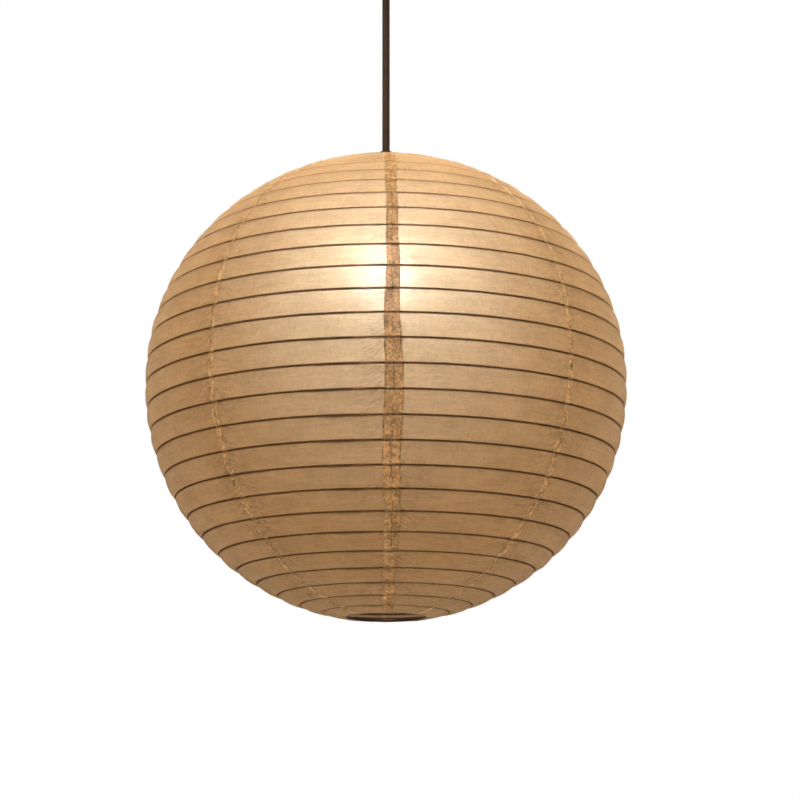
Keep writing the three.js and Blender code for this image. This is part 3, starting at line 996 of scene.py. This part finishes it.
class LANTERN_OT_bulb(bpy.types.Operator):
    """Models the frosted bulb with its threaded base"""
    bl_idname = "lantern.bulb"
    bl_label = "Bulb"

    def execute(self, context):
        top = shade_top()
        radius, centre, wall = 25.0, -98.0, 1.0
        last = math.acos(-0.78)

        def outline(size, neck):
            arc = [
                (size * math.sin(last * (1 - step / 30)), centre - size * math.cos(last * (1 - step / 30)))
                for step in range(31)]
            return [(neck, -60.3), (neck + 0.1, -64.0), (neck + 0.6, -68.3), *arc]

        globe = turned("bulb_glass", outline(radius, 13.2) + outline(radius - wall, 12.2)[::-1], top, 0.2)
        claim(globe, "bulb_globe", smooth=60)

        pitch, mean, rise = 3.6, 12.55, 0.42
        wall_points = [(mean, -41.5 - 0.45 * step) for step in range(40)]
        base = turned("bulb_cap", [
            (9.9, -38), (11.4, -38.2), (12.4, -40.2), *wall_points, (12.9, -59.6), (12.6, -60), (11.8, -60),
            *[(mean - 0.75, z) for _, z in reversed(wall_points)], (11.6, -41.2), (9.9, -39.4)], top, 0.05)
        for vertex in base.data.vertices:
            x, y, z = vertex.co
            out = math.hypot(x, y)
            height = (z - top) / MM
            if abs(height + 50.3) < 9.0 and out > 0.5 * mean * MM:
                fade = min(1.0, (9.0 - abs(height + 50.3)) / 1.8)
                wave = math.cos(TAU * (height / pitch + math.atan2(y, x) / TAU))
                scale = (out + rise * MM * wave * fade) / out
                vertex.co = (x * scale, y * scale, z)
        claim(base, "bulb_base")

        tip = turned("bulb_contact", [
            (0, -34), (2.6, -34.1), (3.6, -34.5), (4.6, -35.4), (5.4, -35.6), (9.6, -38.4), (9.6, -39),
            (0, -39)], top, 0.3, 64)
        claim(tip, "bulb_tip")
        stem = turned("bulb_mount", [
            (0, -50), (10.8, -50), (9, -60), (5, -66), (3.4, -82), (2.6, -92), (0, -93)], top, 1.5, 64)
        claim(stem, "bulb_stem", smooth=60)
        return {"FINISHED"}


class LANTERN_OT_cord(bpy.types.Operator):
    """Models the cord"""
    bl_idname = "lantern.cord"
    bl_label = "Cord"

    def execute(self, context):
        diameter = context.scene.lantern_fittings.cord_diameter
        low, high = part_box("cord")
        rows, sides = 80, 40
        path = [(0.0, 0.0, low.z + (high.z - low.z) * row / rows) for row in range(rows + 1)]
        piece = bent_wire("cord_tube", path, diameter / 2, sides, smooth_route=False)
        claim(piece, "cord", smooth=60)
        return {"FINISHED"}


class LANTERN_OT_ceiling(bpy.types.Operator):
    """Models the canopy, its screws, the cord grip and the crossbar, and ends the cord in them"""
    bl_idname = "lantern.ceiling"
    bl_label = "Ceiling fitting"

    def execute(self, context):
        fittings = context.scene.lantern_fittings
        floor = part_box("canopy_cup")[0].z / MM
        cup = turned("canopy", [
            (5.5, floor), (40, floor), (44, floor + 0.5), (48.4, floor + 2.9), (50, floor + 7), (50, -0.9),
            (49.7, -0.3), (48.9, -0.3), (48.8, floor + 7.2), (47.4, floor + 3.6), (43.7, floor + 1.7),
            (40, floor + 1.2), (5.5, floor + 1.2)], 0, 1.6, 128)
        screw_x, hole = 34 * MM, 2.4 * MM
        cut_out(cup, *[
            rod("hole", hole, (floor - 5) * MM, (floor + 6) * MM, x) for x in (screw_x, -screw_x)])
        claim(cup, "canopy_cup")

        head = floor - 0.3
        for side, node in ((1, "canopy_screw_right"), (-1, "canopy_screw_left")):
            thread = []
            for turn in range(22):
                z = head + 2.0 + 1.05 * turn
                thread += [(2.0, z), (1.72, z + 0.5)]
            screw = turned(f"{node}_piece", [
                (0, head - 2.5), (1.6, head - 2.4), (3.1, head - 1.9), (3.8, head - 0.9), (3.8, head), (2, head),
                *thread, (2, -1.6), (1.2, -0.8), (0, -0.8)], 0, 0.12, 48)
            slot_low = Vector((-5, -0.45, head - 4)) * MM
            cut_out(screw, block("slot", slot_low, Vector((5, 0.45, head - 1.3)) * MM))
            make_active(screw)
            bpy.ops.transform.translate(value=(side * screw_x, 0, 0))
            settle(screw)
            claim(screw, node)

        low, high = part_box("cord_grip")
        bottom, rim, neck = low.z / MM, floor - 0.3, high.z / MM
        thread = [(5.2 - 0.35 * (step % 2), rim + 2.4 + 0.55 * step) for step in range(12)]
        grip = turned("grip", [
            (3.6, bottom), (4.9, bottom), (5.6, bottom + 1), (7.6, bottom + 4.2), (8, bottom + 5.2), (8, rim),
            (5.2, rim), *thread, (5.2, neck), (3.6, neck)], 0, 0.35)
        ribbed(grip, 7.7 * MM, (bottom + 5.4) * MM, (rim - 0.2) * MM, 24, 0.3 * MM)
        claim(grip, "cord_grip")

        low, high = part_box("grip_nut")
        nut = rod("nut", 9 * MM, low.z, high.z, sides=6)
        cut_out(softened(nut, 0.5 * MM), rod("bore", 5.7 * MM, low.z - MM, high.z + MM))
        claim(nut, "grip_nut")

        low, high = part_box("ceiling_crossbar")
        bar = softened(block("crossbar", low, high), 0.35 * MM)
        tools = []
        for x in (screw_x, -screw_x):
            tools.append(rod("hole", hole, low.z - MM, high.z + MM, x))
        for x in (18 * MM, -18 * MM):
            slot_low = (x - 4 * MM, -2.6 * MM, low.z - MM)
            tools.append(block("slot", slot_low, (x + 4 * MM, 2.6 * MM, high.z + MM)))
            tools += [rod("slot_end", 2.6 * MM, low.z - MM, high.z + MM, x + d * MM) for d in (-4, 4)]
        cut_out(bar, *tools)
        claim(bar, "ceiling_crossbar")

        low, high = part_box("terminal_block")
        block_piece = softened(block("terminals", low, high), 0.6 * MM)
        wells = []
        for share in (0.25, 0.75):
            x = low.x + (high.x - low.x) * share
            wells.append(rod("well", 1.9 * MM, low.z - MM, low.z + 3 * MM, x, (low.y + high.y) / 2, 24))
        cut_out(block_piece, *wells)
        claim(block_piece, "terminal_block")

        low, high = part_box("cord_tail")
        half = fittings.cord_diameter / 2
        path = [(0, 0, low.z + (high.z - low.z) * step / 20) for step in range(21)]
        sheath = bent_wire("tail", path, half, 32, smooth_route=False)
        claim(sheath, "cord_tail", smooth=60)

        return {"FINISHED"}


# ---- studio ----
class LANTERN_OT_studio(bpy.types.Operator):
    """Places the floor, the soft light, the cord's lamp and the camera"""
    bl_idname = "lantern.studio"
    bl_label = "Studio"

    def execute(self, context):
        scene = context.scene
        light = scene.lantern_light
        scene.view_settings.view_transform = "Standard"
        top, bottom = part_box("top_ring"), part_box("bottom_ring")
        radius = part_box(HOOPS[len(HOOPS) // 2])[1][0]
        centre = Vector((0, 0, (top[1][2] + bottom[0][2]) / 2))

        clear_selection()
        bpy.ops.mesh.primitive_plane_add(size=50, location=(0, 0, centre.z - 3.2))
        floor = context.object
        floor.name = floor.data.name = "studio_floor"
        material, board = new_material("studio_floor")
        skin = board.node(
            "ShaderNodeBsdfPrincipled", {"Base Color": (0.82, 0.82, 0.82, 1), "Roughness": 0.8})
        pale = board.node("ShaderNodeEmission", {"Color": (0.93, 0.93, 0.93, 1), "Strength": 1.0})
        seen_first = board.node("ShaderNodeLightPath").outputs["Is Camera Ray"]
        board.finish(board.blend(seen_first, skin.outputs[0], pale.outputs[0]))
        floor.data.materials.append(material)

        world = bpy.data.worlds.new("studio")
        scene.world = world
        world.use_nodes = True
        world.node_tree.nodes.clear()
        sky = Board(world.node_tree)
        seen = sky.node("ShaderNodeBackground", {"Color": (1, 1, 1, 1), "Strength": 1.0})
        soft = sky.node(
            "ShaderNodeBackground", {"Color": (1, 0.985, 0.96, 1), "Strength": light.studio_strength})
        direct = sky.node("ShaderNodeLightPath").outputs["Is Camera Ray"]
        lit = sky.blend(direct, soft.outputs[0], seen.outputs[0])
        sky.node("ShaderNodeOutputWorld", {"Surface": lit})

        low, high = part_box("cord")
        lamp = bpy.data.objects.new("cord_lamp", bpy.data.lights.new("cord_lamp", "SPOT"))
        scene.collection.objects.link(lamp)
        lamp.data.energy = light.cord_lamp
        lamp.data.shadow_soft_size = 0.12
        lamp.data.spot_size = math.radians(9)
        lamp.data.spot_blend = 0.6
        to_left = math.radians(35)
        side = Vector((-math.sin(to_left), -math.cos(to_left), 0)) * 1.3
        lamp.location = Vector((0, 0, (low.z + high.z) / 2)) + side
        lamp.rotation_euler = (-side).to_track_quat("-Z", "Y").to_euler()

        camera = bpy.data.objects.new("camera", bpy.data.cameras.new("camera"))
        scene.collection.objects.link(camera)
        camera.data.sensor_width = 36.0
        camera.data.lens = light.lens
        distance = 11.0 * radius
        tilt, turn = math.radians(11.5), math.radians(1.6)
        level = math.cos(tilt)
        way = Vector((-math.sin(turn) * level, -math.cos(turn) * level, -math.sin(tilt)))
        camera.location = centre + way * distance
        camera.rotation_euler = (math.pi / 2 + tilt, 0, -turn)
        camera.data.shift_x = 0.0175
        camera.data.shift_y = -0.0145
        camera.data.clip_start = 0.05
        camera.data.clip_end = 60.0
        scene.camera = camera
        return {"FINISHED"}


class LANTERN_OT_finishes(bpy.types.Operator):
    """Builds the materials and gives each CAD piece that stays its finish"""
    bl_idname = "lantern.finishes"
    bl_label = "Finishes"

    def execute(self, context):
        finishes = make_materials()
        for part in frame["record"]["subparts"]:
            mesh = frame["nodes"][part["node"]].data
            mesh.materials.clear()
            mesh.materials.append(finishes[part["material_slot"]])
        return {"FINISHED"}


OPERATORS = (
    LANTERN_OT_finishes, LANTERN_OT_studio, LANTERN_OT_cord, LANTERN_OT_ceiling, LANTERN_OT_paper,
    LANTERN_OT_hoops, LANTERN_OT_rings, LANTERN_OT_expander, LANTERN_OT_lampholder, LANTERN_OT_bulb,
)


class LANTERN_PT_panel(bpy.types.Panel):
    """Lists the lantern's pieces"""
    bl_idname = "LANTERN_PT_panel"
    bl_label = "Paper lantern"
    bl_space_type = "VIEW_3D"
    bl_region_type = "UI"
    bl_category = "Paper Lantern"

    def draw(self, context):
        for operator in OPERATORS:
            self.layout.operator(operator.bl_idname)
        for group, kind in SETTINGS.items():
            box = self.layout.box()
            box.label(text=kind.__doc__)
            for label in kind.__annotations__:
                box.prop(getattr(context.scene, group), label)


SETTINGS = {
    "lantern_paper": PaperSettings,
    "lantern_wires": WireSettings,
    "lantern_fittings": FittingSettings,
    "lantern_light": LightSettings,
}


def register():
    for kind in (*SETTINGS.values(), *OPERATORS, LANTERN_PT_panel):
        bpy.utils.register_class(kind)
    for group, kind in SETTINGS.items():
        setattr(bpy.types.Scene, group, PointerProperty(type=kind))


def unregister():
    for group in SETTINGS:
        delattr(bpy.types.Scene, group)
    for kind in (LANTERN_PT_panel, *OPERATORS, *SETTINGS.values()):
        bpy.utils.unregister_class(kind)


def main():
    register()
    for operator in OPERATORS:
        group, name = operator.bl_idname.split(".")
        getattr(getattr(bpy.ops, group), name)()


if __name__ == "__main__":
    main()
